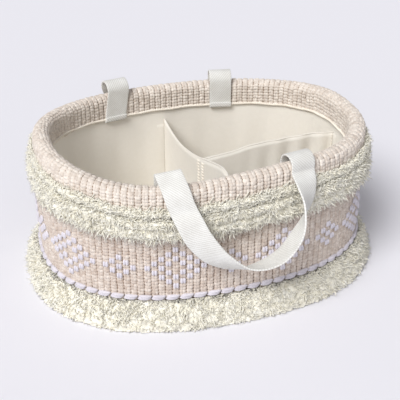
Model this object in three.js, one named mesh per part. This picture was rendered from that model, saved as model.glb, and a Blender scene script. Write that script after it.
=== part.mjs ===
// A soft oval diaper caddy: a ribbed woven wall with a padded, turned-over rim, two bands of
// yarn fringe, a cotton lining with two dividers, and two webbing handles that hang outside.
// Millimetres. +X runs along the length, +Z is up, the front is towards -Y, the floor is Z = 0.
import * as THREE from 'three';

// Driving dimensions: the shell
const rimLength = 344;
const rimDepth = 254;
const ovalPower = 2.38;
const rimHeight = 152;
const rimSaddle = 4;
const rimThickness = 17;
const weaveThickness = 3;
const cuffDepth = 27;
const seamDrop = 26;
const hemCordDiameter = 1.7;
const hemCordSides = 5;
const liningThickness = 1.2;
const basePanelThickness = 3;
const baseBoardThickness = 2.5;

// Driving dimensions: the yarn trim
const fringeOverSeam = 2;
const upperFringeLength = 32;
const upperFringeDepth = 8;
const upperFringeFoot = 6;
const headerHeight = 7.5;
const headerDepth = 5;
const headerShoulder = 3.5;
const lowerFringeTop = 27.5;
const lowerFringeFlare = 19;
const lowerFringeNeck = 3;
const fringeFloorClearance = 0.6;
const tuftCount = 56;
const tuftGroove = 0.22;
// Where the fringes bulge: shares of their height and, for the lower one, of its flare
const fringeBelly = 0.4;
const flareBelly = 0.62;
const flareBellyHeight = 0.55;
const tuftRagged = 3;
const stepsPerTuft = 3;
const stitchMargin = 2;
const stitchCount = 72;
const stitchYarn = 3;
const stitchLift = 2.4;
const stitchDipYarn = 1.5;
const stitchDipLift = 0.84;
const stitchFlat = 0.6;

// Driving dimensions: the dividers
const dividerThickness = 2.4;
const dividerHemHeight = 3;
const dividerHemThickness = 3.4;
const crossSeamRear = -6;
const crossSeamFront = -4;
const crossBow = 16;
const crossSag = 23;
const longSag = 19;
const junctionShare = 0.48;
const foldDepth = 4;
const foldCount = 1.5;
const seamFlangeWidth = 9;
const seamFlangeThickness = 1.2;

// Driving dimensions: the handles
const webbingWidth = 25;
const webbingThickness = 1.8;
const handleSpread = 126;
const handleDrop = 84;
const handleReach = 30;
const handleTwist = 82;
const bendRise = 2;
const tabBelowHem = 4;
const tabFoldHeight = 6;

// Clearance that touching pieces keep
const gap = 0.3;

// How finely round shapes are divided
const ovalSteps = 72;
const arcSteps = 7;
const dividerSteps = 24;
const loopSteps = 44;
const stepsPerStitch = 3;
const arcLengthSamples = 4000;
const halvings = 50;

// Heights and insets that several pieces share
const halfLength = rimLength / 2;
const halfDepth = rimDepth / 2;
const hemHeight = rimHeight - cuffDepth;
const seamHeight = rimHeight - seamDrop;
const crownFoot = rimHeight - rimThickness / 2;
const wallFoot = basePanelThickness + gap;
const coreOuter = weaveThickness + gap;
const coreInner = rimThickness - weaveThickness - gap;
const liningOuter = rimThickness - weaveThickness;
const liningInner = liningOuter + liningThickness;
const boardFoot = basePanelThickness + gap;
const floorFoot = boardFoot + baseBoardThickness + gap;
const floorTop = floorFoot + liningThickness;
const upperFringeTop = seamHeight + fringeOverSeam;
const upperFringeBottom = upperFringeTop - upperFringeLength;
const headerFoot = upperFringeTop - headerHeight;
const stitchHeight = lowerFringeTop + stitchMargin + stitchYarn / 2;

// The plan of the caddy: a rounded oval between an ellipse and a rectangle
class Oval extends THREE.Curve {
  getPoint(t, target = new THREE.Vector3()) {
    const angle = 2 * Math.PI * t;
    const x = Math.cos(angle);
    const y = Math.sin(angle);
    const power = 2 / ovalPower;
    return target.set(
      halfLength * Math.sign(x) * Math.abs(x) ** power,
      halfDepth * Math.sign(y) * Math.abs(y) ** power,
      0,
    );
  }
}
const oval = new Oval();
oval.arcLengthDivisions = arcLengthSamples;
const perimeter = oval.getLength();

// A place on the oval with its outward direction, by its share of the way round from +X
function station(share) {
  const u = (share + 1) % 1;
  const point = oval.getPointAt(u);
  const along = oval.getTangentAt(u);
  const out = new THREE.Vector3(along.y, -along.x, 0).normalize();
  return { share: u, point, out };
}

// The place on the front or rear wall that has a given X
function stationAtX(x, front) {
  let low = front ? 0.5 : 0;
  let high = low + 0.5;
  for (let i = 0; i < halvings; i += 1) {
    const middle = (low + high) / 2;
    const passed = station(middle).point.x > x;
    if (passed === front) high = middle;
    else low = middle;
  }
  return station(low);
}

// The soft wall stands taller at its two ends and dips along its sides
function standing(point, z) {
  const side = (point.x / halfLength) ** 2 - (point.y / halfDepth) ** 2;
  return z * (1 + rimSaddle / rimHeight * side);
}

// A point of a wall section: so far in from the woven face, and so high
function place(at, inset, z) {
  const p = at.point.clone().addScaledVector(at.out, -inset);
  p.z = standing(at.point, z);
  return p;
}

// A closed solid through a row of sections that all have the same number of corners
function loft(rows, closed) {
  const across = rows[0].length;
  const spans = closed ? rows.length : rows.length - 1;
  const index = [];
  for (let i = 0; i < spans; i += 1) {
    const here = i * across;
    const next = ((i + 1) % rows.length) * across;
    for (let j = 0; j < across; j += 1) {
      const k = (j + 1) % across;
      index.push(here + j, next + j, next + k, here + j, next + k, here + k);
    }
  }
  if (!closed) {
    const last = (rows.length - 1) * across;
    for (let j = 1; j < across - 1; j += 1) {
      index.push(0, j, j + 1, last, last + j + 1, last + j);
    }
  }
  const points = rows.flat();
  if (signedVolume(points, index) < 0) index.reverse();
  const geometry = new THREE.BufferGeometry();
  const flat = new Float32Array(points.flatMap((p) => p.toArray()));
  geometry.setAttribute('position', new THREE.BufferAttribute(flat, 3));
  geometry.setIndex(index);
  geometry.computeVertexNormals();
  return geometry;
}

function signedVolume(points, index) {
  let volume = 0;
  const normal = new THREE.Vector3();
  for (let i = 0; i < index.length; i += 3) {
    normal.crossVectors(points[index[i + 1]], points[index[i + 2]]);
    volume += points[index[i]].dot(normal) / 6;
  }
  return volume;
}

// A ring that carries a section, given as [inset, height] corners, all the way round the oval
function ring(steps, sectionAt) {
  const rows = [];
  for (let i = 0; i < steps; i += 1) {
    const at = station(i / steps);
    rows.push(sectionAt(i / steps).map(([inset, z]) => place(at, inset, z)));
  }
  return loft(rows, true);
}

// A flat oval panel, inset from the woven face
function panel(inset, foot, thickness) {
  const outline = [];
  for (let i = 0; i < ovalSteps; i += 1) {
    const at = station(i / ovalSteps);
    const p = at.point.addScaledVector(at.out, -inset);
    outline.push(new THREE.Vector2(p.x, p.y));
  }
  const geometry = new THREE.ExtrudeGeometry(new THREE.Shape(outline), {
    depth: thickness,
    bevelEnabled: false,
  });
  return geometry.translate(0, 0, foot);
}

// Half a circle of [inset, height] corners over the top of the rim, from one inset to another
function crown(fromInset, toInset, foot) {
  const middle = (fromInset + toInset) / 2;
  const radius = (toInset - fromInset) / 2;
  const corners = [];
  for (let i = 0; i <= arcSteps; i += 1) {
    const angle = Math.PI * i / arcSteps;
    corners.push([middle - radius * Math.cos(angle), foot + Math.abs(radius) * Math.sin(angle)]);
  }
  return corners;
}

const caddy = new THREE.Group();

function addPiece(name, geometry, finish) {
  const material = new THREE.MeshStandardMaterial({ ...finish, metalness: 0 });
  const mesh = new THREE.Mesh(geometry, material);
  mesh.name = name;
  caddy.add(mesh);
  return mesh;
}

// Finishes of the cloth, the yarns and the stiffeners
const woven = { color: 0xd9c3b2, roughness: 0.95 };
const padding = { color: 0xf2f0ea, roughness: 0.9 };
const fibreboard = { color: 0xb59b78, roughness: 0.9 };
const cream = { color: 0xe9e6d4, roughness: 1 };
const lavender = { color: 0xd3cddb, roughness: 0.9 };
const cotton = { color: 0xe6e1d6, roughness: 0.9 };
const webbing = { color: 0xefedea, roughness: 0.85 };

// The base: woven outer panel, stiff board and lining floor
addPiece('base_panel', panel(0, 0, basePanelThickness), woven);
addPiece('base_board', panel(liningInner + gap, boardFoot, baseBoardThickness), fibreboard);
addPiece('lining_floor', panel(liningInner + gap, floorFoot, liningThickness), cotton);

// The wall: woven face, padding that stiffens it, and lining
addPiece('outer_wall', ring(ovalSteps, () => [
  [0, wallFoot],
  [0, seamHeight],
  [weaveThickness, seamHeight],
  [weaveThickness, wallFoot],
]), woven);
addPiece('wall_padding', ring(ovalSteps, () => [
  [coreOuter, wallFoot],
  ...crown(coreOuter, coreInner, crownFoot),
  [coreInner, wallFoot],
]), padding);
addPiece('lining_wall', ring(ovalSteps, () => [
  [liningOuter, wallFoot],
  [liningOuter, hemHeight - gap],
  [liningInner, hemHeight - gap],
  [liningInner, wallFoot],
]), cotton);

// The rim: the woven cloth is turned over the padding and hangs inside down to a corded hem
addPiece('rim_cuff', ring(ovalSteps, () => [
  [0, seamHeight + gap],
  ...crown(0, rimThickness, crownFoot),
  [rimThickness, hemHeight],
  [liningOuter, hemHeight],
  ...crown(liningOuter, weaveThickness, crownFoot),
  [weaveThickness, seamHeight + gap],
]), woven);
addPiece('cuff_hem_cord', ring(ovalSteps, () => {
  const radius = hemCordDiameter / 2;
  const inset = liningInner + gap + radius;
  const height = hemHeight - gap - radius;
  return Array.from({ length: hemCordSides }, (_, i) => [
    inset + radius * Math.cos(2 * Math.PI * i / hemCordSides),
    height + radius * Math.sin(2 * Math.PI * i / hemCordSides),
  ]);
}), cotton);

// The upper fringe: a looped header sewn over the wall seam, and a skirt of tufts under it
addPiece('upper_fringe_header', ring(ovalSteps, () => [
  [-gap, headerFoot],
  [-gap, upperFringeTop],
  [-gap - headerShoulder, upperFringeTop],
  [-gap - headerDepth, upperFringeTop - headerHeight / 2],
  [-gap - headerShoulder, headerFoot],
]), cream);

// How full a fringe stands at a share of the way round: 1 on a tuft, less in a groove
function tuft(share) {
  return 1 - tuftGroove * (0.5 - 0.5 * Math.cos(2 * Math.PI * tuftCount * share));
}
const tuftSteps = stepsPerTuft * tuftCount;
addPiece('upper_fringe', ring(tuftSteps, (share) => {
  const full = tuft(share);
  const ragged = tuftRagged * (1 - full) / tuftGroove;
  const bellyHeight = upperFringeBottom + fringeBelly * (headerFoot - gap - upperFringeBottom);
  return [
    [-gap, upperFringeBottom + ragged],
    [-gap, headerFoot - gap],
    [-gap - full * upperFringeFoot, headerFoot - gap],
    [-gap - full * upperFringeDepth, bellyHeight],
    [-gap - full * upperFringeFoot, upperFringeBottom + ragged],
  ];
}), cream);

// The lower fringe flares from the running stitch down to the floor
addPiece('lower_fringe', ring(tuftSteps, (share) => {
  const flare = lowerFringeFlare * tuft(share);
  const belly = lowerFringeNeck + (flare - lowerFringeNeck) * flareBelly;
  const bellyHeight = fringeFloorClearance + (lowerFringeTop - fringeFloorClearance) * flareBellyHeight;
  return [
    [-gap, fringeFloorClearance],
    [-gap, lowerFringeTop],
    [-gap - lowerFringeNeck, lowerFringeTop],
    [-gap - belly, bellyHeight],
    [-gap - flare, fringeFloorClearance],
  ];
}), cream);

// One thick yarn runs round the wall in a running stitch: long floats, short dips to the cloth
addPiece('running_stitch', ring(stepsPerStitch * stitchCount, (share) => {
  const phase = Math.round(share * stepsPerStitch * stitchCount) % stepsPerStitch;
  const dipped = phase === 0;
  const lift = dipped ? stitchDipLift : stitchLift;
  const half = (dipped ? stitchDipYarn : stitchYarn) / 2;
  return [
    [-gap, stitchHeight - half],
    [-gap, stitchHeight + half],
    [-gap - lift, stitchHeight + half * stitchFlat],
    [-gap - lift, stitchHeight - half * stitchFlat],
  ];
}), lavender);

// A cloth panel that stands on the lining floor, with its plan and top edge as functions of
// the share of its length, and the rolled hem that finishes the top edge
function dividerPanel(planAt, topAt) {
  const rows = [];
  for (let i = 0; i <= dividerSteps; i += 1) {
    const { point, side } = planAt(i / dividerSteps);
    const top = topAt(i / dividerSteps) - dividerHemHeight - gap;
    const left = point.clone().addScaledVector(side, dividerThickness / 2);
    const right = point.clone().addScaledVector(side, -dividerThickness / 2);
    const foot = floorTop + gap;
    rows.push([
      left.clone().setZ(foot),
      left.clone().setZ(top),
      right.clone().setZ(top),
      right.clone().setZ(foot),
    ]);
  }
  return loft(rows, false);
}
// The hem's rounded top starts at a share of its height and narrows to a share of its thickness
const hemShoulder = 0.35;
const hemCrown = 0.4;
function dividerHem(planAt, topAt) {
  const rows = [];
  for (let i = 0; i <= dividerSteps; i += 1) {
    const { point, side } = planAt(i / dividerSteps);
    const top = topAt(i / dividerSteps);
    const corner = (across, drop) => point.clone()
      .addScaledVector(side, across * dividerHemThickness / 2)
      .setZ(top - drop * dividerHemHeight);
    rows.push([
      corner(1, 1),
      corner(1, hemShoulder),
      corner(hemCrown, 0),
      corner(-hemCrown, 0),
      corner(-1, hemShoulder),
      corner(-1, 1),
    ]);
  }
  return loft(rows, false);
}

// Top edges, as the slack cloth hangs: [share of the length, share of the sag below the cuff hem]
function edgeHeight(sag, points) {
  const line = new THREE.SplineCurve(points.map(([share, drop]) => new THREE.Vector2(share, drop)));
  return (share) => {
    let low = 0;
    let high = 1;
    for (let i = 0; i < halvings; i += 1) {
      const middle = (low + high) / 2;
      if (line.getPoint(middle).x > share) high = middle;
      else low = middle;
    }
    return hemHeight - sag * line.getPoint(low).y;
  };
}
const crossEdge = edgeHeight(crossSag, [
  [0, 0.74], [0.12, 0.94], [0.25, 1.08], [0.4, 0.96], [0.52, 0.69], [0.64, 0.39], [0.74, 0.19], [0.86, 0.22],
  [1, 0.34],
]);
const longEdge = edgeHeight(longSag, [
  [0, 1], [0.2, 0.82], [0.37, 0.55], [0.57, 0.45], [0.83, 0.37], [1, 0.47],
]);

// The cross divider is sewn to the rear and front walls, and the long divider draws it into a bow
const liningFace = liningInner + gap;
const rearSeam = stationAtX(crossSeamRear, false);
const frontSeam = stationAtX(crossSeamFront, true);
const crossRear = place(rearSeam, liningFace, 0);
const crossFront = place(frontSeam, liningFace, 0);
const crossAlong = crossFront.clone().sub(crossRear).normalize();
const crossSide = new THREE.Vector3(-crossAlong.y, crossAlong.x, 0);
const crossSlack = dividerHemThickness / 2 * Math.abs(crossAlong.x) + gap;
crossRear.addScaledVector(crossAlong, crossSlack);
crossFront.addScaledVector(crossAlong, -crossSlack);
const crossPlan = (share) => {
  const point = crossRear.clone().lerp(crossFront, share);
  point.addScaledVector(crossSide, crossBow * Math.sin(Math.PI * share ** 2));
  return { point, side: crossSide };
};
addPiece('cross_divider', dividerPanel(crossPlan, crossEdge), cotton);
addPiece('cross_divider_hem', dividerHem(crossPlan, crossEdge), cotton);

// The long divider runs from the cross divider to the right end wall, with slack folds there
const junction = crossPlan(junctionShare).point;
const junctionStep = 1 / dividerSteps;
const junctionRun = crossPlan(junctionShare + junctionStep).point.sub(junction);
const hemOverhang = dividerHemThickness / 2 * (1 + Math.abs(junctionRun.x / junctionRun.y)) + gap;
const longStart = junction.clone().setX(junction.x + hemOverhang);
const endSeam = station(junction.y / perimeter);
const longEnd = place(endSeam, liningFace + gap, 0).setY(junction.y);
const longSide = new THREE.Vector3(0, 1, 0);
const longPlan = (share) => {
  const point = longStart.clone().lerp(longEnd, share);
  const slack = Math.sin(Math.PI * share) * share;
  point.y += foldDepth * slack * Math.sin(2 * Math.PI * foldCount * share);
  return { point, side: longSide };
};
addPiece('long_divider', dividerPanel(longPlan, longEdge), cotton);
addPiece('long_divider_hem', dividerHem(longPlan, longEdge), cotton);

// Flanges: the dividers' ends are folded aside and sewn flat against the lining
function seamFlange(at, turn, top) {
  const clear = dividerHemThickness / 2 + gap;
  const rows = [floorTop + gap, top].map((z) => [0, 1].flatMap((layer) => {
    const ends = layer ? [1, 0] : [0, 1];
    return ends.map((end) => {
      const along = turn * (clear + crossSlack + seamFlangeWidth * end);
      const there = station(at.share + along / perimeter);
      const p = there.point.clone();
      p.addScaledVector(there.out, -(liningFace + gap + seamFlangeThickness * layer));
      return p.setZ(z);
    });
  }));
  return loft(rows, false);
}
addPiece('rear_seam_flange', seamFlange(rearSeam, 1, crossEdge(0)), cotton);
addPiece('front_seam_flange', seamFlange(frontSeam, -1, crossEdge(1)), cotton);
addPiece('end_seam_flange', seamFlange(endSeam, -1, longEdge(1)), cotton);

// The handles: each strap is sewn inside the cuff, bends over the rim and hangs as a loop
function strapEnd(at) {
  const beside = station(at.share + webbingWidth / 2 / perimeter);
  const face = place(at, rimThickness, 0);
  const hollow = face.sub(place(beside, rimThickness, 0)).dot(at.out);
  const insideLeg = rimThickness + gap + hollow + webbingThickness / 2;
  const outsideLeg = -gap - webbingThickness / 2;
  return {
    at,
    insideLeg,
    radius: (insideLeg - outsideLeg) / 2,
    middle: (insideLeg + outsideLeg) / 2,
    bendHeight: standing(at.point, rimHeight) + bendRise,
    hem: standing(at.point, hemHeight),
  };
}

// Extrudes an outline drawn in [outward, up] across the strap's width, centred on the strap
function acrossStrap(outline, end) {
  const geometry = new THREE.ExtrudeGeometry(outline, { depth: webbingWidth, bevelEnabled: false });
  geometry.translate(0, 0, -webbingWidth / 2);
  const up = new THREE.Vector3(0, 0, 1);
  const across = new THREE.Vector3().crossVectors(end.at.out, up);
  const frame = new THREE.Matrix4().makeBasis(end.at.out, up, across);
  frame.setPosition(end.at.point);
  return geometry.applyMatrix4(frame);
}

// The sewn end: flat against the cuff, with its cut edge folded under at the foot
function strapTab(end) {
  const wallSide = -end.insideLeg + webbingThickness / 2;
  const foot = end.hem - tabBelowHem;
  const outline = new THREE.Shape();
  outline.moveTo(wallSide, foot);
  outline.lineTo(wallSide, end.bendHeight - gap);
  outline.lineTo(wallSide - webbingThickness, end.bendHeight - gap);
  outline.lineTo(wallSide - webbingThickness, foot + tabFoldHeight);
  outline.lineTo(wallSide - 2 * webbingThickness, foot + tabFoldHeight);
  outline.lineTo(wallSide - 2 * webbingThickness, foot);
  return acrossStrap(outline, end);
}

// The bend: half a turn over the rim, which flexes when the handle is raised
function strapBend(end) {
  const outline = new THREE.Shape();
  outline.absarc(-end.middle, end.bendHeight, end.radius + webbingThickness / 2, 0, Math.PI);
  outline.absarc(-end.middle, end.bendHeight, end.radius - webbingThickness / 2, Math.PI, 0, true);
  return acrossStrap(outline, end);
}

// The loop hangs from both bends and twists on its way: its inner face turns up at the right of its foot.
// Its route: [share of the half spread, share of the drop, share of the reach from the wall]
const loopRoute = [
  [-1, 0, 0], [-1, 0.05, 0], [-0.97, 0.14, 0.17], [-0.875, 0.27, 0.44], [-0.7, 0.53, 0.76],
  [-0.43, 0.79, 0.93], [0, 0.96, 1], [0.5, 0.88, 1], [0.79, 0.61, 0.95],
  [0.93, 0.35, 0.76], [0.99, 0.16, 0.36], [1, 0.05, 0], [1, 0, 0],
];
// The twist builds up between two shares of the loop's length and lets go from a third
const loopWinds = 0.08;
const loopWound = 0.6;
const loopUnwinds = 0.66;
function strapLoop(left, right, front) {
  const away = front ? -1 : 1;
  const start = left.at.point.clone().addScaledVector(left.at.out, left.radius - left.middle);
  const route = new THREE.CatmullRomCurve3(loopRoute.map(([spread, drop, reach]) => new THREE.Vector3(
    spread * -start.x,
    start.y + away * reach * handleReach,
    left.bendHeight - gap - drop * handleDrop,
  )));
  const rows = [];
  for (let i = 0; i <= loopSteps; i += 1) {
    const u = i / loopSteps;
    const point = route.getPointAt(u);
    const along = route.getTangentAt(u);
    const out = left.at.out.clone().lerp(right.at.out, u);
    out.addScaledVector(along, -out.dot(along)).normalize();
    const flat = new THREE.Vector3().crossVectors(along, out).multiplyScalar(away);
    const wound = THREE.MathUtils.smoothstep(u, loopWinds, loopWound);
    const unwound = THREE.MathUtils.smoothstep(u, loopUnwinds, 1);
    const twist = THREE.MathUtils.degToRad(handleTwist) * wound * (1 - unwound);
    const width = flat.multiplyScalar(Math.cos(twist)).addScaledVector(out, Math.sin(twist));
    const thick = new THREE.Vector3().crossVectors(along, width).multiplyScalar(away);
    const corner = (across, through) => point.clone()
      .addScaledVector(width, across * webbingWidth / 2)
      .addScaledVector(thick, through * webbingThickness / 2);
    rows.push([corner(-1, -1), corner(1, -1), corner(1, 1), corner(-1, 1)]);
  }
  return loft(rows, false);
}

for (const [side, front] of [['front', true], ['rear', false]]) {
  const left = strapEnd(stationAtX(-handleSpread / 2, front));
  const right = strapEnd(stationAtX(handleSpread / 2, front));
  addPiece(`${side}_left_handle_tab`, strapTab(left), webbing);
  addPiece(`${side}_right_handle_tab`, strapTab(right), webbing);
  addPiece(`${side}_left_handle_bend`, strapBend(left), webbing);
  addPiece(`${side}_right_handle_bend`, strapBend(right), webbing);
  addPiece(`${side}_handle`, strapLoop(left, right, front), webbing);
}

export default caddy;
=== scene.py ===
# A soft oval diaper caddy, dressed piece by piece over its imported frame. Metres, +Z up.
import math
import random

import bmesh
import bpy
import numpy as np
from mathutils import Matrix, Vector


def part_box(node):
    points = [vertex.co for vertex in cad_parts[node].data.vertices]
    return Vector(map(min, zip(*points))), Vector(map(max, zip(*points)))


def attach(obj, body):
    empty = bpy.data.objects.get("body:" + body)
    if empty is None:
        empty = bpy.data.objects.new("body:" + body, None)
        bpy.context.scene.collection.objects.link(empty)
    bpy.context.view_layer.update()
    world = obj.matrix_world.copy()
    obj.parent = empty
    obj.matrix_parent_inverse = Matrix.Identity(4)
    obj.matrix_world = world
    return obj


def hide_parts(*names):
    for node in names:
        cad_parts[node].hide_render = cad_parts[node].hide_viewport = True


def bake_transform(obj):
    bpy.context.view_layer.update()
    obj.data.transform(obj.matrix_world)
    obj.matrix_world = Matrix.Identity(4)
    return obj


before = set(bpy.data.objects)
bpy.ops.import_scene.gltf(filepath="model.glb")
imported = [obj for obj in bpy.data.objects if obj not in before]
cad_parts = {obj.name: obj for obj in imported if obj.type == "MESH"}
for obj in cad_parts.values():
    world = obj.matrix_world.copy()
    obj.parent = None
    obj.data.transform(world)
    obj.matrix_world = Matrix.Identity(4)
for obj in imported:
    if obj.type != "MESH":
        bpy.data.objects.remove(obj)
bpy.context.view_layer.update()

# Base panel. An oval of the ribbed cloth, cut flat, that the whole caddy stands on.
# The wall is sewn to its edge all round, so its outline is the plan of the caddy.
base_low, base_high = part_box("base_panel")
plan_half = np.array([base_high.x, base_high.y])
plan_power = 2.38
plan_turn = np.linspace(0, 2 * math.pi, 4001)
rib_count = 144
base_sides = 2 * rib_count
base_roll = 0.0012
sharp_turn = 1.0


def plan_place(turn):
    """Points of the plan: an oval between an ellipse and a rectangle, by the angle turned from +X."""
    reach = np.stack([np.cos(turn), np.sin(turn)], 1)
    return plan_half * np.sign(reach) * np.abs(reach) ** (2 / plan_power)


def walked(points):
    """The length walked along a line of points, at each of them."""
    return np.concatenate([[0], np.cumsum(np.linalg.norm(np.diff(points, axis=0), axis=1))])


def unit(rows):
    """Rows of numbers as directions, one unit long."""
    return rows / np.maximum(np.linalg.norm(rows, axis=1, keepdims=True), 1e-9)


plan_walk = walked(plan_place(plan_turn))
wall_length = plan_walk[-1]


def round_the_plan(run):
    """Places on the plan, and the directions out of it, by the length walked along the wall from +X."""
    place = plan_place(np.interp(np.mod(run, wall_length), plan_walk, plan_turn))
    return place, unit(np.sign(place) * np.abs(place / plan_half) ** (plan_power - 1) / plan_half)


def paint(code):
    """A colour written as six hex digits, as the linear values that a shader takes."""
    parts = [int(code[i:i + 2], 16) / 255 for i in (0, 2, 4)]
    return [c / 12.92 if c <= 0.04045 else ((c + 0.055) / 1.055) ** 2.4 for c in parts] + [1]


def add_node(tree, kind, inputs, **settings):
    """One node; each input is a plain value, or the socket that feeds it."""
    node = tree.nodes.new(kind)
    for name, value in settings.items():
        setattr(node, name, value)
    for name, value in inputs.items():
        if isinstance(value, bpy.types.NodeSocket):
            tree.links.new(value, node.inputs[name])
        else:
            node.inputs[name].default_value = value
    return node


def add_math(tree, operation, first, second=0.0, clamp=False):
    """A Math node's result from two values or sockets."""
    node = add_node(tree, "ShaderNodeMath", {0: first, 1: second}, operation=operation, use_clamp=clamp)
    return node.outputs[0]


def add_mix(tree, share, first, second):
    """A colour between two colours."""
    node = add_node(tree, "ShaderNodeMix", {0: share, 6: first, 7: second}, data_type="RGBA")
    return node.outputs[2]


def new_group(name, inputs, outputs):
    """An empty node group with named sockets, and its two end nodes."""
    tree = bpy.data.node_groups.new(name, "ShaderNodeTree")
    for sockets, way in ((inputs, "INPUT"), (outputs, "OUTPUT")):
        for socket, kind in sockets.items():
            tree.interface.new_socket(socket, in_out=way, socket_type="NodeSocket" + kind)
    return tree, tree.nodes.new("NodeGroupInput").outputs, tree.nodes.new("NodeGroupOutput").inputs


def yarn_group():
    """Spun yarn: fibres and slubs that move the colour between a deep and a pale one."""
    tree, given, made = new_group(
        "Spun yarn",
        {"Place": "Vector", "Tint": "Float", "Deep": "Color", "Pale": "Color", "Fibres": "Float"},
        {"Colour": "Color", "Height": "Float"},
    )
    fibre = add_node(tree, "ShaderNodeTexNoise", {
        "Vector": given["Place"], "Scale": given["Fibres"], "Detail": 3.0, "Roughness": 0.7})
    slub = add_node(tree, "ShaderNodeTexNoise", {
        "Vector": given["Place"], "Scale": add_math(tree, "MULTIPLY", given["Fibres"], 0.06), "Detail": 2.0})
    spread = add_math(tree, "ADD", fibre.outputs["Fac"], slub.outputs["Fac"])
    moved = add_math(tree, "MULTIPLY", add_math(tree, "SUBTRACT", spread, 1.0), 0.9)
    share = add_math(tree, "ADD", given["Tint"], moved, clamp=True)
    tree.links.new(add_mix(tree, share, given["Deep"], given["Pale"]), made["Colour"])
    tree.links.new(fibre.outputs["Fac"], made["Height"])
    return tree


spun_yarn = yarn_group()


def new_finish(name, roughness, sheen):
    """A material with its shader, ready for a colour and a bump."""
    finish = bpy.data.materials.new(name)
    finish.use_nodes = True
    shader = finish.node_tree.nodes["Principled BSDF"]
    shader.inputs["Roughness"].default_value = roughness
    shader.inputs["Sheen Weight"].default_value = sheen
    shader.inputs["Sheen Roughness"].default_value = 0.5
    shader.inputs["Specular IOR Level"].default_value = 0.2
    return finish, finish.node_tree, shader


def raise_bump(tree, shader, height, depth, strength):
    """Feeds a height, whose full step is a depth in metres, to the shader as a bump."""
    bump = add_node(tree, "ShaderNodeBump", {"Height": height, "Distance": depth, "Strength": strength})
    tree.links.new(bump.outputs["Normal"], shader.inputs["Normal"])


def spin_yarn(tree, shader, place, tint, deep, pale, fibres):
    """Colours the shader as spun yarn, with so many fibres to the metre, and gives their height."""
    yarn = add_node(tree, "ShaderNodeGroup", {"Place": place, "Tint": tint, "Deep": paint(deep),
                    "Pale": paint(pale), "Fibres": fibres}, node_tree=spun_yarn)
    tree.links.new(yarn.outputs["Colour"], shader.inputs["Base Color"])
    return yarn.outputs["Height"]


def as_mesh(name, bm):
    """A bmesh that is done with, as a mesh."""
    mesh = bpy.data.meshes.new(name)
    bm.to_mesh(mesh)
    bm.free()
    return mesh


def add_object(name, data):
    """A new object at the origin of the scene."""
    thing = bpy.data.objects.new(name, data)
    bpy.context.scene.collection.objects.link(thing)
    return thing


def make_piece(name, bm, finish):
    """The finished mesh as a piece, with its material."""
    mesh = as_mesh(name, bm)
    mesh.shade_smooth()
    mesh.materials.append(finish)
    return add_object(name, mesh)


def sew_on(name, bm, finish, slot, *nodes):
    """A piece that is sewn to the caddy, in place of the frame's nodes that it stands for."""
    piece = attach(make_piece(name, bm, finish), "caddy")
    if nodes:
        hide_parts(*nodes)
    return piece


def soften_edges(bm, offset):
    """Rounds the sharp edges of cloth that has its thickness."""
    edges = [edge for edge in bm.edges if edge.calc_face_angle(0) > sharp_turn]
    bmesh.ops.bevel(bm, geom=edges, offset=offset, segments=2, profile=0.5, affect="EDGES", material=-1)


bm = bmesh.new()
bmesh.ops.create_circle(bm, cap_ends=True, radius=1, segments=base_sides)
base_run = np.arange(base_sides) * wall_length / base_sides
for vert, place in zip(bm.verts, round_the_plan(base_run)[0]):
    vert.co = (*place, base_low.z)
base_area = sum(face.calc_area() for face in bm.faces)
lifted = bmesh.ops.extrude_face_region(bm, geom=bm.faces[:])["geom"]
base_top = [part for part in lifted if isinstance(part, bmesh.types.BMVert)]
bmesh.ops.translate(bm, verts=base_top, vec=(0, 0, base_high.z - base_low.z))
bmesh.ops.recalc_face_normals(bm, faces=bm.faces[:])
soften_edges(bm, base_roll)

base_finish, tree, shader = new_finish("ribbed_base_cloth", 0.95, 0.2)
place = add_node(tree, "ShaderNodeTexCoord", {}).outputs["Object"]
ribs = add_node(tree, "ShaderNodeTexWave", {"Vector": place, "Scale": 46.0, "Distortion": 1.2,
                "Detail Scale": 60.0}, bands_direction="Y")
spin_yarn(tree, shader, place, ribs.outputs["Fac"], "b69f8f", "e0d3c6", 900.0)
raise_bump(tree, shader, ribs.outputs["Fac"], 0.0012, 0.9)
base_cloth = sew_on("base_cloth", bm, base_finish, "woven_cotton", "base_panel")

# Base board. A stiff sheet of pressed fibreboard between the base panel and the lining floor.
# It is a cut flat plate, so the frame's own solid shows it, with a brown fibrous finish.
board_finish, tree, shader = new_finish("pressed_fibreboard", 0.85, 0.0)
place = add_node(tree, "ShaderNodeTexCoord", {}).outputs["Object"]
flecks = add_node(tree, "ShaderNodeTexNoise", {"Vector": place, "Scale": 420.0, "Detail": 6.0,
                  "Roughness": 0.75})
tone = add_mix(tree, flecks.outputs["Fac"], paint("8d7352"), paint("c9b08a"))
tree.links.new(tone, shader.inputs["Base Color"])
raise_bump(tree, shader, flecks.outputs["Fac"], 0.0004, 0.6)
board_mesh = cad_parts["base_board"].data
board_mesh.materials.clear()
board_mesh.materials.append(board_finish)

# Wall padding. A strip of needled felt inside the wall, thick enough to make it stand by itself.
# It is rounded over at the top, where the woven cloth is turned down over it to make the rim.
# The soft rim has settled a little unevenly, and leans in at the left end.
pad_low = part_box("wall_padding")[0]
rim_saddle = 0.004
rim_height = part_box("rim_cuff")[1].z - rim_saddle
crown_radius = 0.0085
crown_foot = rim_height - crown_radius
rim_turn = math.pi * crown_radius
rim_settle = [(0, -0.0015), (0.10, -0.0038), (0.24, -0.0012), (0.39, -0.0032), (0.54, 0.0015),
              (0.655, -0.0040), (0.81, 0.0046), (0.91, 0.0005), (1, -0.0015)]
end_lean, rim_lean = 0.003, 0.0025
felt_inset = 0.0033
felt_rows = 48


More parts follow.
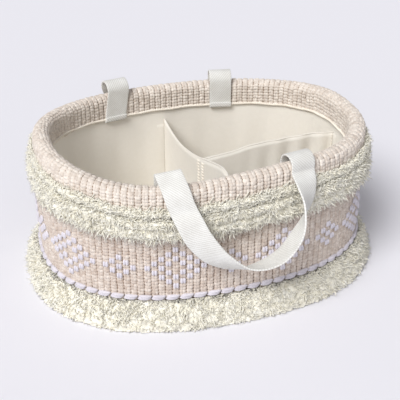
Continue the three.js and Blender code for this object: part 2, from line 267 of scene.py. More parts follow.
def eased(run, stations):
    """A value that eases from each station to the next; stations are shares of the way round the wall."""
    at, value = np.array(stations).T
    share = np.mod(run, wall_length) / wall_length
    after = np.clip(np.searchsorted(at, share, side="right"), 1, len(at) - 1)
    part = (share - at[after - 1]) / (at[after] - at[after - 1])
    return value[after - 1] + (value[after] - value[after - 1]) * (1 - np.cos(math.pi * part)) / 2


def saddle(place):
    """How much taller the wall stands at a place: it rises at the ends and dips at the sides."""
    share = (place / plan_half) ** 2
    return 1 + rim_saddle / rim_height * (share[..., 0] - share[..., 1])


def stand_up(run, place, height):
    """A height on the wall as it stands, with its saddle and its settled rim."""
    return height * saddle(place) + eased(run, rim_settle) * (height / rim_height) ** 2


def lean_in(place, height):
    """How far the soft wall leans in at its left end, most of all at the rim."""
    share = np.clip(-place[:, 0] / plan_half[0], 0, 1) ** 2
    return share * (end_lean + rim_lean * (height / rim_height) ** 4)


def move_to(verts, places):
    """Moves vertices to their places."""
    for vert, place in zip(verts, places):
        vert.co = place


def sew_round(bm, joined=False):
    """Takes cloth laid flat over the rim and round the plan: X runs along the wall, Y goes in from
    its woven face, and Z climbs the wall, passes over the rim and goes down inside."""
    flat = np.array([vert.co for vert in bm.verts])
    climb = flat[:, 2] - crown_foot
    roll = np.clip(climb / crown_radius, 0, math.pi)
    lever = crown_radius - flat[:, 1]
    inset = crown_radius - lever * np.cos(roll)
    past = np.maximum(climb - rim_turn, 0)
    height = crown_foot + np.minimum(climb, 0) + lever * np.sin(roll) - past
    place, out = round_the_plan(flat[:, 0])
    sewn = np.column_stack([place - out * inset[:, None], stand_up(flat[:, 0], place, height)])
    sewn[:, 0] += lean_in(place, height)
    move_to(bm.verts, sewn)
    if joined:
        bmesh.ops.remove_doubles(bm, verts=bm.verts[:], dist=1e-6)


def mark_measure(bm, across, up):
    """Writes two of the flat coordinates, in metres, as the UV map that the cloth's weave follows."""
    measure = bm.loops.layers.uv.new("measure")
    for face in bm.faces:
        for loop in face.loops:
            loop[measure].uv = (loop.vert.co[across], loop.vert.co[up])


def flat_cloth(width, foot, top, inset, columns, rows):
    """A length of cloth standing flat on its edge."""
    bm = bmesh.new()
    stand = Matrix.Translation((width / 2, inset, (foot + top) / 2))
    stand @= Matrix.Rotation(math.pi / 2, 4, "X") @ Matrix.Diagonal((width, top - foot, 1, 1))
    bmesh.ops.create_grid(bm, x_segments=columns, y_segments=rows, size=0.5, matrix=stand)
    mark_measure(bm, 0, 2)
    return bm


def yarn_finish(name, surface, colours, fibres, bump, tint):
    """Spun yarn all over. Its tint is one share, or the mean of attributes that the mesh holds."""
    finish, tree, shader = new_finish(name, *surface)
    place = add_node(tree, "ShaderNodeTexCoord", {}).outputs["Object"]
    if isinstance(tint, list):
        shades = [add_node(tree, "ShaderNodeAttribute", {}, attribute_name=part) for part in tint]
        tint = 0.0
        for shade in shades:
            weighed = add_math(tree, "MULTIPLY", shade.outputs["Fac"], 1 / len(shades))
            tint = add_math(tree, "ADD", tint, weighed)
    raise_bump(tree, shader, spin_yarn(tree, shader, place, tint, *colours, fibres), *bump)
    return finish


felt_finish = yarn_finish("needled_felt", (1.0, 0.4), ("d8d4c8", "f6f4ee"), 700.0, (0.0006, 0.8), 0.5)
felt_top = 2 * crown_foot + rim_turn - pad_low.z
bm = flat_cloth(wall_length, pad_low.z, felt_top, felt_inset, rib_count, felt_rows)
sew_round(bm, joined=True)
bmesh.ops.bridge_loops(bm, edges=[edge for edge in bm.edges if edge.is_boundary])
felt_pad = sew_on("felt_pad", bm, felt_finish, "padding", "wall_padding")

# Lining floor. Off-white cotton over the board, cut as an oval and sewn to the foot of the lining.
# It lies a little slack, so it rises and dips by less than a millimetre.
floor_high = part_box("lining_floor")[1]
floor_inset = plan_half[0] - floor_high.x
floor_rings = 10
floor_wave, floor_swing = 0.0006, 1.9


def weave_group():
    """Plain weave: threads that pass over and under each other, with slubs along them."""
    tree, given, made = new_group(
        "Plain weave", {"Flat": "Vector", "Threads": "Float"}, {"Height": "Float", "Slub": "Float"})
    spots = add_node(tree, "ShaderNodeSeparateXYZ", {"Vector": given["Flat"]})
    turn = add_math(tree, "MULTIPLY", given["Threads"], math.pi)
    warp = add_math(tree, "SINE", add_math(tree, "MULTIPLY", spots.outputs["X"], turn))
    weft = add_math(tree, "SINE", add_math(tree, "MULTIPLY", spots.outputs["Y"], turn))
    over = add_math(tree, "MULTIPLY", warp, weft)
    height = add_math(tree, "ADD", add_math(tree, "MULTIPLY", over, 0.5), 0.5)
    tree.links.new(height, made["Height"])
    slub = add_node(tree, "ShaderNodeTexNoise", {"Vector": given["Flat"], "Scale": 190.0, "Detail": 4.0,
                    "Roughness": 0.6})
    tree.links.new(slub.outputs["Fac"], made["Slub"])
    return tree


def cotton_finish(name, deep, pale):
    """Smooth lining cotton: a fine plain weave on the cloth's own measure, with faint soft clouding."""
    finish, tree, shader = new_finish(name, 0.85, 0.15)
    flat = add_node(tree, "ShaderNodeUVMap", {}, uv_map="measure").outputs["UV"]
    weave = add_node(tree, "ShaderNodeGroup", {"Flat": flat, "Threads": 1400.0}, node_tree=weave_group())
    cloud = add_node(tree, "ShaderNodeTexNoise", {"Vector": flat, "Scale": 14.0, "Detail": 3.0})
    tone = add_math(tree, "ADD", cloud.outputs["Fac"], weave.outputs["Slub"])
    share = add_math(tree, "MULTIPLY", tone, 0.5, clamp=True)
    tree.links.new(add_mix(tree, share, paint(deep), paint(pale)), shader.inputs["Base Color"])
    raise_bump(tree, shader, weave.outputs["Height"], 0.0003, 0.5)
    return finish


def edges_of(ring):
    """The edges at a ring's vertices, each once, in the order of the vertices."""
    return list(dict.fromkeys(edge for vert in ring for edge in vert.link_edges))


def grow_ring(bm, edges):
    """Extrudes a ring of edges in place, and gives the new ring's vertices and edges."""
    grown = bmesh.ops.extrude_edge_only(bm, edges=edges)["geom"]
    ring = [part for part in grown if isinstance(part, bmesh.types.BMVert)]
    fresh = [part for part in grown if isinstance(part, bmesh.types.BMEdge)]
    return ring, [edge for edge in fresh if edge.verts[0] in ring and edge.verts[1] in ring]


lining_finish = cotton_finish("lining_cotton", "e9e3d8", "f6f2ea")
bm = bmesh.new()
ring = bmesh.ops.create_circle(bm, radius=1, segments=rib_count)["verts"]
floor_edge, out = round_the_plan(np.arange(rib_count) * wall_length / rib_count)
for vert, place in zip(ring, floor_edge - out * floor_inset):
    vert.co = (*place, floor_high.z)
floor_hem = bm.edges[:]
for step in range(1, floor_rings):
    ring, floor_hem = grow_ring(bm, floor_hem)
    shrink = 1 - 1 / (floor_rings + 1 - step)
    bmesh.ops.scale(bm, verts=ring, vec=(shrink, shrink, 1))
    bmesh.ops.translate(bm, verts=ring, vec=(0, 0, floor_wave * math.sin(step * floor_swing)))
bmesh.ops.pointmerge(bm, verts=ring, merge_co=(0, 0, floor_high.z))
bmesh.ops.recalc_face_normals(bm, faces=bm.faces[:])
mark_measure(bm, 0, 1)
floor_area = sum(face.calc_area() for face in bm.faces)
floor_cloth = sew_on("floor_cloth", bm, lining_finish, "lining_cotton", "lining_floor")

# Lining wall. The same cotton, sewn under the cuff's hem and hanging down the inside of the wall.
# It is cut a little long, so soft upright folds stand off the padding between its two seams.
lining_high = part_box("lining_wall")[1]
lining_tuck = 0.0004
lining_foot = floor_high.z - lining_tuck
hem_height = 0.125
lining_gap = 0.0012
lining_inset = plan_half[0] - lining_high.x + lining_gap
lining_rows = 24
lining_folds = [(7, 0.4), (11, 1.9), (17, 4.1), (26, 2.7)]
lining_slack = 0.0009
lining_fullness = 0.7
bm = flat_cloth(wall_length, lining_foot, hem_height, lining_inset, 2 * rib_count, lining_rows)
for vert in bm.verts:
    turn = 2 * math.pi * vert.co.x / wall_length
    fold = sum(math.sin(count * turn + start) for count, start in lining_folds) / 2
    height = (vert.co.z - lining_foot) / (hem_height - lining_foot)
    vert.co.y += lining_slack * (1 + fold) * abs(math.sin(math.pi * height)) ** lining_fullness
sew_round(bm, joined=True)
bmesh.ops.reverse_faces(bm, faces=bm.faces[:])
lining_cloth = sew_on("lining_cloth", bm, lining_finish, "lining_cotton", "lining_wall")

# Woven wall. A stiff ground cloth round the padding, with 144 upright ribs worked over it.
# Each rib is a plait of thick two-tone yarn: short slanting grains that meet in a column of Vs.
wall_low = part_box("outer_wall")[0]
seam_height = 0.126
ground_inset = 0.0014
ground_rows = 16
rib_pitch = wall_length / rib_count
rib_shift = 0.0006
grain_pitch = 0.0037
grain_size = (0.0048, 0.0020, 0.0057)
grain_slant = math.radians(20)
grain_apart = 0.16 * rib_pitch
grain_nudge = 0.00016
grain_tints = (2.5, 2.2)
wall_rib_foot = 0.0285
wall_rib_rows = 21


def lay_copy(bm, pattern, placed):
    """Adds one copy of a small mesh to a piece, placed by a matrix."""
    copy = pattern.copy()
    copy.transform(placed)
    bm.from_mesh(copy)
    bpy.data.meshes.remove(copy)


def half_grain(name, sides, rings):
    """The outer half of a seed-shaped bump of yarn, one unit in radius, with its tips along Z."""
    bm = bmesh.new()
    turned = Matrix.Rotation(math.pi / sides, 4, "Z")
    bmesh.ops.create_uvsphere(bm, u_segments=sides, v_segments=rings, radius=1, matrix=turned)
    whole = bm.verts[:] + bm.edges[:] + bm.faces[:]
    bmesh.ops.bisect_plane(bm, geom=whole, dist=1e-4, plane_co=(0, 0, 0), plane_no=(0, 1, 0),
                           clear_outer=True)
    return as_mesh(name, bm)


yarn_grain = half_grain("yarn_grain", sides=6, rings=5)


def rib_column(name, foot, rows):
    """One upright rib as a plait: pairs of grains that lean apart."""
    bm = bmesh.new()
    width, depth, length = grain_size
    shape = Matrix.Diagonal((width / 2, depth, length / 2, 1))
    for row in range(rows):
        for side in (-1, 1):
            spot = Matrix.Translation((side * grain_apart, ground_inset, foot + row * grain_pitch))
            lay_copy(bm, yarn_grain, spot @ Matrix.Rotation(side * grain_slant, 4, "Y") @ shape)
    return as_mesh(name, bm)


def sew_ribs(name, foot, rows, seed, deep, pale):
    """All the ribs of a stretch of cloth, with grains that are a little uneven, each with its own tint."""
    column = rib_column(name + "_column", foot, rows)
    bm = bmesh.new()
    chance = np.random.default_rng(seed)
    for rib, shift in enumerate(chance.normal(0, rib_shift, rib_count)):
        lay_copy(bm, column, Matrix.Translation((rib * rib_pitch, 0, shift)))
    grains = 2 * rows * rib_count
    nudge = chance.normal(0, grain_nudge, (grains, 3))
    tints = chance.beta(*grain_tints, grains)
    tint = bm.verts.layers.float.new("tint")
    per_grain = len(yarn_grain.vertices)
    for number, vert in enumerate(bm.verts):
        vert.co += Vector(nudge[number // per_grain])
        vert[tint] = tints[number // per_grain]
    sew_round(bm)
    finish = yarn_finish(name + "_yarn", (0.92, 0.2), (deep, pale), 1500.0, (0.0004, 0.7), ["tint"])
    return sew_on(name, bm, finish, "woven_cotton")


# Painted shade: the wall's ribs are the same yarn as the rim's, given deeper colours for the shade that falls
# on the wall under the fringe; each grain's own tone still varies at random.
wall_ribs = sew_ribs("wall_ribs", wall_rib_foot, wall_rib_rows, seed=3, deep="c2b1a4", pale="e2d7cd")
# Painted shade: the ground cloth is given a deep tan so that it reads as the shade in the gaps between the
# grains.
gap_shaded_ground_finish = yarn_finish("woven_ground_gap_shade", (1.0, 0.1), ("846f61", "a8917f"), 1100.0, (0.0005, 0.8), 0.4)
bm = flat_cloth(wall_length, wall_low.z, seam_height, ground_inset, 2 * rib_count, ground_rows)
sew_round(bm, joined=True)
wall_cloth = sew_on("wall_cloth", bm, gap_shaded_ground_finish, "woven_cotton", "outer_wall")

# Brocade diamonds. Pale lavender floats laid over the ribs by hand, a large diamond with an open middle
# and a small one in turn, nine of each round the wall. Neighbouring floats step by half a float.
diamond_height = 0.0653
diamond_step = 0.0106
diamond_period = 16
large_diamond = (3, 5)
small_diamond = (11, 3)
float_size = (0.0029, 0.0019, 0.0060)
float_ply = 0.0013
float_lift = 0.0003
grain_tip = 0.999


def blunt(mesh, power):
    """Fills out a grain towards its tips, so that it ends more bluntly."""
    for vert in mesh.vertices:
        rise = min(abs(vert.co.z), grain_tip)
        swell = math.sqrt((1 - rise ** power) / (1 - rise ** 2))
        vert.co.x *= swell
        vert.co.y *= swell
    return mesh


float_grain = blunt(half_grain("float_grain", sides=6, rings=8), power=4)
bm = bmesh.new()
float_shape = Matrix.Diagonal((float_size[0] / 2, float_size[1], float_size[2] / 2, 1))
for turn in range(rib_count // diamond_period):
    for middle, tallest in (large_diamond, small_diamond):
        for column in range(1 - tallest, tallest):
            floats = tallest - abs(column)
            rib = turn * diamond_period + middle + column
            for number in range(floats):
                rise = number - (floats - 1) / 2
                if tallest == large_diamond[1] and column == 0 and rise == 0:
                    continue
                for side in (-1, 1):
                    run = rib * rib_pitch + side * float_ply
                    spot = Matrix.Translation((run, -float_lift, diamond_height + rise * diamond_step))
                    lay_copy(bm, float_grain, spot @ float_shape)
sew_round(bm)
lavender_finish = yarn_finish("lavender_yarn", (0.9, 0.25), ("c8c2ca", "e6e2ea"), 1300.0, (0.0004, 0.7), 0.6)
sew_on("brocade_diamonds", bm, lavender_finish, "stitch_yarn")

# Running stitch. One thick lavender yarn of three plies sewn round the wall above the lower fringe.
# It comes out for 13 mm, tapers as it dips under the cloth, and comes out again.
stitch_count = 72
stitch_phase = 0.25
stitch_height = 0.031
stitch_half = 0.0063
stitch_lift = 0.0032
ply_radius = 0.0012
ply_apart = 0.0014
ply_stagger = 0.0008
bm = bmesh.new()
ply_shape = Matrix.Rotation(math.pi / 2, 4, "Y") @ Matrix.Diagonal((ply_radius, stitch_lift, stitch_half, 1))
ply_grain = blunt(half_grain("ply_grain", sides=8, rings=10), power=2.5)
for number in range(stitch_count):
    run = (number + stitch_phase) * wall_length / stitch_count
    for ply in (-1, 0, 1):
        spot = Matrix.Translation((run + ply * ply_stagger, 0, stitch_height + ply * ply_apart))
        lay_copy(bm, ply_grain, spot @ ply_shape)
sew_round(bm)
sew_on("lavender_stitches", bm, lavender_finish, "stitch_yarn", "running_stitch")

# Lower fringe. Cream cotton yarn tufted in rows on a tape round the foot of the wall, then cut and brushed.
# The tufts pack into a thick flared skirt, and their curly cut ends stand out of it all over.
# Each row has its height, how far out it starts, its dip below level in degrees, and its count of tufts.
fringe_floor = 0.0006
lower_fringe_top = 0.0279
strand_radius = 0.0006
strand_reach = (0.55, 1.1)
strand_curl = 0.55
root_spread = (0.0015, 0.0013)
row_stray, row_scatter = 0.3, 0.0009
tuft_dip, tuft_swing = 10, 16
tuft_sizes = (0.85, 1.15)
pack_rows = 14
pack_waver = 0.0011
# Painted shade: the packed yarn is tinted part way to the deep colour, for the hollows behind the tufts.
pack_tip = 0.6
tape_lift = 0.0002
tape_rows = 4
lower_tape_foot, lower_tape_width = 0.0035, 0.0235
lower_outline = [(0.0008, 0.0160), (0.006, 0.0150), (0.014, 0.0116), (0.021, 0.0076), (0.0262, 0.0026)]
lower_rows = [(0.0262, 0.0016, -12, 190), (0.0225, 0.0046, 20, 195), (0.0185, 0.0070, 30, 200),
              (0.0145, 0.0088, 30, 205), (0.0105, 0.0104, 28, 210), (0.0065, 0.0118, 22, 215),
              (0.0028, 0.0126, 12, 220)]
level = [(0, 0), (1, 0)]
full = [(0, 1), (1, 1)]
chance = random.Random(11)


def yarn_tuft(name, strands, length, fan):
    """A brushed tuft growing out along -Y: curly strands that spread and end at uneven lengths."""
    bm = bmesh.new()
    # Painted shade: the tip share runs from 0 at the root to 1 at the tip, so the strands are painted deeper
    # down in the hollows of the tufts.
    tip = bm.verts.layers.float.new("tip")
    tint = bm.verts.layers.float.new("tint")
    for strand in range(strands):
        aim = Vector((chance.gauss(0, fan), -1, chance.gauss(0, fan))).normalized()
        reach = length * chance.uniform(*strand_reach) / 2
        shade = chance.random()
        root = Matrix.Translation((chance.gauss(0, root_spread[0]), 0, chance.gauss(0, root_spread[1])))
        turned = root @ aim.to_track_quat("Z", "Y").to_matrix().to_4x4()
        ring = bmesh.ops.create_circle(bm, radius=strand_radius, segments=3, matrix=turned)["verts"]
        edges = edges_of(ring)
        for vert in ring:
            vert[tint] = shade
        for half in (0.5, 1):
            ring, edges = grow_ring(bm, edges)
            curl = Vector([chance.gauss(0, strand_curl) for _ in range(3)])
            bmesh.ops.translate(bm, verts=ring, vec=(aim + curl) * reach)
            for vert in ring:
                vert[tip] = half
                vert[tint] = shade
        middle = sum((vert.co for vert in ring), Vector()) / len(ring)
        bmesh.ops.pointmerge(bm, verts=ring, merge_co=middle)
    return as_mesh(name, bm)


def pack_yarn(bm, outline):
    """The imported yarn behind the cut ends: a thick uneven band by its outline of heights and depths."""
    heights, depths = np.array(outline).T
    band = flat_cloth(wall_length, heights[0], heights[-1], 0, 3 * rib_count, pack_rows)
    tip = band.verts.layers.float.new("tip")
    tint = band.verts.layers.float.new("tint")
    for vert in band.verts:
        vert.co.y = -np.interp(vert.co.z, heights, depths) + chance.gauss(0, pack_waver)
        vert[tip] = pack_tip
        vert[tint] = chance.random()
    packed = as_mesh("packed_yarn", band)
    bm.from_mesh(packed)
    bpy.data.meshes.remove(packed)


def tuft_rows(bm, tufts, rows):
    """Rows of tufts round the wall, each tuft turned and sized a little differently."""
    for height, out, below, count in rows:
        for number in range(count):
            run = (number + chance.uniform(-row_stray, row_stray)) * wall_length / count
            spot = Matrix.Translation((run, -out, height + chance.gauss(0, row_scatter)))
            dip = Matrix.Rotation(math.radians(below + chance.gauss(0, tuft_dip)), 4, "X")
            swing = Matrix.Rotation(math.radians(chance.gauss(0, tuft_swing)), 4, "Z")
            tuft = chance.choice(tufts)
            lay_copy(bm, tuft, spot @ swing @ dip @ Matrix.Scale(chance.uniform(*tuft_sizes), 4))


def sew_fringe(bm, climb, press, joined=False):
    """Sews yarn or tape round the wall, on a line that climbs here and there, pressed flatter in places."""
    runs = np.array([vert.co.x for vert in bm.verts])
    for vert, rise, squeeze in zip(bm.verts, eased(runs, climb), eased(runs, press)):
        vert.co.y *= squeeze
        vert.co.z += rise
    sew_round(bm, joined)


def fringe_tape(name, foot, width, climb):
    """The woven tape that the tufts are sewn to."""
    bm = flat_cloth(wall_length, foot, foot + width, -tape_lift, rib_count, tape_rows)
    sew_fringe(bm, climb, full, joined=True)
    return sew_on(name, bm, lining_finish, "fringe_yarn")


# The fringe's colour lies between a deep cream and a pale one, by each strand's own random tint and, as
# painted shade, by how near the root a point is.
fringe_finish = yarn_finish("cream_fringe_yarn", (0.95, 0.3), ("f1ebd8", "fbf9f0"), 1200.0, (0.0003, 0.6),
                            ["tip", "tint"])
lower_tufts = [yarn_tuft(f"lower_tuft_{n}", strands=19, length=0.0060, fan=0.65) for n in range(10)]


def lower_yarn(name, rows, outline, *nodes):
    """Some rows of the lower fringe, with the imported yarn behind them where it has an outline."""
    bm = bmesh.new()
    if outline:
        pack_yarn(bm, outline)
    tuft_rows(bm, lower_tufts, rows)
    for vert in bm.verts:
        vert.co.z = min(max(vert.co.z, fringe_floor), lower_fringe_top)
    sew_fringe(bm, level, full)
    return sew_on(name, bm, fringe_finish, "fringe_yarn", *nodes)


lower_tufting = lower_yarn("lower_tufting", lower_rows[:3], lower_outline, "lower_fringe")
lower_skirt = lower_yarn("lower_skirt", lower_rows[3:], [])
lower_tape = fringe_tape("lower_fringe_tape", lower_tape_foot, lower_tape_width, level)

# Rim cuff. The ribbed cloth goes on over the padded rim and down inside as far as its hem.
# It starts at the seam under the upper fringe, and its ribs carry on in line with the wall's.
cuff_drop = 0.0010
rim_rib_rows = 18
rim_rows = 40
seam_gap = 0.0002
rim_hem = 2 * crown_foot + rim_turn - hem_height + cuff_drop
# Painted light: the rim's ribs are the same yarn as the wall's, given paler colours for the light that falls
# on the rim and inside the cuff.
rim_ribs = sew_ribs("rim_ribs", seam_height, rim_rib_rows, seed=5, deep="cfc2b6", pale="efe6dc")
bm = flat_cloth(wall_length, seam_height + seam_gap, rim_hem, ground_inset, 2 * rib_count, rim_rows)
sew_round(bm, joined=True)
# The rim's ground takes the same deep tan, painted shade in the gaps between its grains.
rim_cloth = sew_on("rim_cloth", bm, gap_shaded_ground_finish, "woven_cotton", "rim_cuff")

# Hem cord. A thin pale cord of two plies, sewn along the cuff's inner hem where the lining starts.
# Its plies wind round each other every 5.6 mm, and it wavers a little from stitch to stitch.
cord_inset = 0.0171
cord_waver, cord_waves = 0.0004, 23
ply_wind = 0.0056
ply_throw = 0.0008
ply_thick = 0.00105
ply_sides = 5
cord_steps = 6 * rib_count
cord_turns = round(wall_length / ply_wind)
bm = bmesh.new()
for ply in range(2):
    tube = bmesh.ops.create_grid(bm, x_segments=cord_steps, y_segments=ply_sides, size=0.5)["verts"]
    for vert in tube:
        share = vert.co.x + 0.5
        round_ply = 2 * math.pi * vert.co.y
        turn = 2 * math.pi * cord_turns * share + math.pi * ply
        waver = cord_waver * math.sin(2 * math.pi * cord_waves * share)
        inset = cord_inset + ply_throw * math.cos(turn) + ply_thick * math.cos(round_ply)
        height = hem_height - cuff_drop + waver + ply_throw * math.sin(turn) + ply_thick * math.sin(round_ply)
        vert.co = (wall_length * share, inset, height)
sew_round(bm, joined=True)
bmesh.ops.recalc_face_normals(bm, faces=bm.faces[:])
cord_finish = yarn_finish("pale_hem_cord", (0.9, 0.2), ("e6dac9", "fbf6ec"), 1500.0, (0.0002, 0.6), 0.6)
hem_cord = sew_on("hem_cord", bm, cord_finish, "woven_cotton", "cuff_hem_cord")

# Upper fringe header. Short upright loops of the fringe yarn along the top of the upper fringe.
# They are sewn over the seam between the wall and the rim, and stand out as one ridge.
# The sewn line climbs towards the ends and the rear, and the yarn lies flatter at both ends.
header_outline = [(0.1216, 0.0010), (0.1230, 0.0048), (0.1260, 0.0050), (0.1282, 0.0014)]
header_rows = [(0.1268, 0.0016, -30, 340), (0.1242, 0.0028, 6, 340)]
upper_climb = [(0, 0.006), (0.25, 0.005), (0.5, 0.006), (0.6, 0.006), (0.67, 0.0024), (0.75, 0.0032),
               (0.83, 0.006), (1, 0.006)]
upper_press = [(0, 0.62), (0.12, 1), (0.38, 1), (0.5, 0.65), (0.62, 1), (0.88, 1), (1, 0.62)]


def upper_yarn(name, tufts, rows, outline, node):
    """A band of the upper fringe: its packed yarn and its rows of tufts."""
    bm = bmesh.new()
    pack_yarn(bm, outline)
    tuft_rows(bm, tufts, rows)
    sew_fringe(bm, upper_climb, upper_press)
    return sew_on(name, bm, fringe_finish, "fringe_yarn", node)


header_tufts = [yarn_tuft(f"header_tuft_{n}", strands=18, length=0.0050, fan=0.7) for n in range(8)]
fringe_header = upper_yarn("fringe_header", header_tufts, header_rows, header_outline, "upper_fringe_header")

# Upper fringe. Two thick rows of brushed tufts under the header, hanging as a shaggy skirt over the wall.
# A shallow groove parts the rows, and the lower one ends in a ragged edge 32 mm below the top.
upper_tape_foot, upper_tape_width = 0.0985, 0.0287
upper_outline = [(0.0980, 0.0026), (0.0995, 0.0066), (0.1060, 0.0070), (0.1090, 0.0048), (0.1112, 0.0066),
                 (0.1172, 0.0064), (0.1205, 0.0010)]
upper_rows = [(0.1180, 0.0030, 6, 210), (0.1148, 0.0044, 24, 210), (0.1068, 0.0030, 14, 210),
              (0.1036, 0.0042, 38, 210), (0.1004, 0.0036, 58, 210)]
upper_tufts = [yarn_tuft(f"upper_tuft_{n}", strands=19, length=0.0066, fan=0.6) for n in range(10)]
upper_tufting = upper_yarn("upper_tufting", upper_tufts, upper_rows, upper_outline, "upper_fringe")
upper_tape = fringe_tape("upper_fringe_tape", upper_tape_foot, upper_tape_width, upper_climb)

# Cross divider. Two layers of lining cotton from the rear wall to the front wall, with a rolled top hem.
# It hangs slack, and the long divider that is sewn to it draws it into a bow.
cross_seam_rear = -0.006
cross_seam_front = -0.004
cross_bow = 0.016
cross_belly = 0.0014
belly_waves = (5.5, 1.2)
cross_sag = 0.023
cross_edge = [(0, 0.74), (0.12, 0.94), (0.25, 1.08), (0.4, 0.96), (0.52, 0.69), (0.64, 0.39), (0.74, 0.19),
              (0.86, 0.22), (1, 0.34)]
cross_roll = (0.0010, 0.0008)
cross_columns, cross_steps = 64, 60
clearance = 0.0003
divider_inset = 0.0163
divider_foot = floor_high.z + clearance
divider_hem = 0.003
divider_thick = 0.0017
divider_rows = 24


def run_at(x, front):
    """How far along the wall a given X lies, on the front or on the rear."""
    place = plan_place(plan_turn)
    side = place[:, 1] <= 0 if front else place[:, 1] >= 0
    order = np.argsort(place[side, 0])
    return np.interp(x, place[side, 0][order], plan_walk[side][order])


def smooth_route(points, steps):
    """Points along a smooth curve through the given ones, closer together where they are."""
    points = np.array(points, float)
    ends = np.vstack([2 * points[0] - points[1], points, 2 * points[-1] - points[-2]])
    share = np.linspace(0, 1, steps, endpoint=False)[:, None]
    square, cube = share ** 2, share ** 3
    route = []
    for before, here, there, after in zip(ends, ends[1:], ends[2:], ends[3:]):
        first, second, third = [np.linalg.norm(b - a) ** 0.5
                                for a, b in ((before, here), (here, there), (there, after))]
        leave = (here - before) / first - (there - before) / (first + second) + (there - here) / second
        arrive = (there - here) / second - (after - here) / (second + third) + (after - there) / third
        route.append((2 * cube - 3 * square + 1) * here + (cube - 2 * square + share) * leave * second
                     + (3 * square - 2 * cube) * there + (cube - square) * arrive * second)
    return np.vstack(route + [points[-1:]])


def edge_line(points, sag):
    """The height of a slack top edge by the share of its length."""
    route = smooth_route(points, steps=12)
    return lambda share: hem_height - sag * np.interp(share, route[:, 0], route[:, 1])


def hang_panel(name, node, plan, edge, columns, wrinkle):
    """A cloth panel between its plan and its top edge, with soft wrinkles, made double."""
    bm = bmesh.new()
    bmesh.ops.create_grid(bm, x_segments=columns, y_segments=divider_rows, size=0.5)
    share, rise = np.array([vert.co[:2] for vert in bm.verts]).T + 0.5
    place, side = plan(share)
    height = divider_foot + rise * (edge(share) - divider_hem / 2 - divider_foot)
    place = place + side * wrinkle(share, rise)[:, None]
    length = np.linalg.norm(plan(np.ones(1))[0] - plan(np.zeros(1))[0])
    move_to(bm.verts, np.column_stack([share * length, height, np.zeros(len(share))]))
    mark_measure(bm, 0, 1)
    move_to(bm.verts, np.column_stack([place, height]))
    bmesh.ops.recalc_face_normals(bm, faces=bm.faces[:])
    bmesh.ops.solidify(bm, geom=bm.faces[:], thickness=divider_thick)
    drift = np.mean([vert.co[:2] for vert in bm.verts], axis=0) - np.mean(place, axis=0)
    bmesh.ops.translate(bm, verts=bm.verts[:], vec=(*-drift, 0))
    return sew_on(name, bm, lining_finish, "lining_cotton", node)


def roll_hem(name, node, plan, edge, steps, across, up):
    """The rolled hem of a panel: a flattened tube that follows its top edge."""
    shares = np.linspace(0, 1, steps)
    route = np.column_stack([plan(shares)[0], edge(shares) - up])
    bm = bmesh.new()
    along = Vector(route[1] - route[0])
    shape = along.to_track_quat("Z", "Y").to_matrix().to_4x4() @ Matrix.Diagonal((across, up, 1, 1))
    ring = bmesh.ops.create_circle(bm, cap_ends=True, radius=1, segments=8, matrix=shape)["verts"]
    bmesh.ops.translate(bm, verts=ring, vec=route[0])
    edges = edges_of(ring)
    for step in np.diff(route, axis=0):
        ring, edges = grow_ring(bm, edges)
        bmesh.ops.translate(bm, verts=ring, vec=step)
    bmesh.ops.edgeloop_fill(bm, edges=edges)
    bmesh.ops.recalc_face_normals(bm, faces=bm.faces[:])
    mark_measure(bm, 0, 2)
    return sew_on(name, bm, lining_finish, "lining_cotton", node)


def inside_wall(x, front):
    """The place on the lining where a divider that ends at a given X meets it."""
    place, out = round_the_plan(np.array([run_at(x, front)]))
    return (place - out * divider_inset)[0]


cross_rear = inside_wall(cross_seam_rear, False)
cross_run = inside_wall(cross_seam_front, True) - cross_rear
cross_length = np.linalg.norm(cross_run)
cross_side = np.array([-cross_run[1], cross_run[0]]) / cross_length


def cross_plan(share):
    """Places on the cross divider's bowed plan, with the direction across it."""
    bow = cross_bow * np.sin(math.pi * share ** 2)
    place = cross_rear + np.outer(share, cross_run) + np.outer(bow, cross_side)
    return place, np.tile(cross_side, (len(share), 1))


def cross_wrinkle(share, height):
    """A shallow belly, fuller near the junction."""
    wave = np.sin(belly_waves[0] * share + belly_waves[1] * height)
    return cross_belly * np.sin(math.pi * share) * wave * height


cross_top = edge_line(cross_edge, cross_sag)
cross_panel = hang_panel("cross_panel", "cross_divider", cross_plan, cross_top, cross_columns, cross_wrinkle)
cross_hem = roll_hem("cross_hem", "cross_divider_hem", cross_plan, cross_top, cross_steps, *cross_roll)

# Long divider. The same cloth from the cross divider to the right end, parting that half lengthwise.
# It is cut a little long, so it stands in slack upright folds near the end wall.
junction_share = 0.48
long_sag = 0.019
long_edge = [(0, 1), (0.2, 0.82), (0.37, 0.55), (0.57, 0.45), (0.83, 0.37), (1, 0.47)]
long_roll = (0.0009, 0.0008)
long_columns, long_steps = 96, 90
fold_depth = 0.0024
fold_count, fold_bunching = 6.3, 0.9
fold_start, fold_grows, fold_ends = 0.25, 0.4, 0.06
hem_fold, hem_stiffness = 0.25, 5
crease_depth = 0.0009
crease_waves = (31, 2)
junction = cross_plan(np.array([junction_share]))[0][0]
long_low, long_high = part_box("long_divider")
long_start = np.array([long_low.x, junction[1]])
long_end = np.array([long_high.x, junction[1]])


def long_fold(share):
    """Upright folds that start beyond the junction and end at the seam."""
    slack = np.clip((share - fold_start) / fold_grows, 0, 1) * np.clip((1 - share) / fold_ends, 0, 1)
    return fold_depth * slack * np.sin(2 * math.pi * fold_count * share ** fold_bunching)


def long_plan(share):
    """Places on the long divider's plan: its hem follows the folds a little."""
    place = long_start + np.outer(share, long_end - long_start)
    place[:, 1] += hem_fold * long_fold(share)
    return place, np.tile([0.0, 1.0], (len(share), 1))


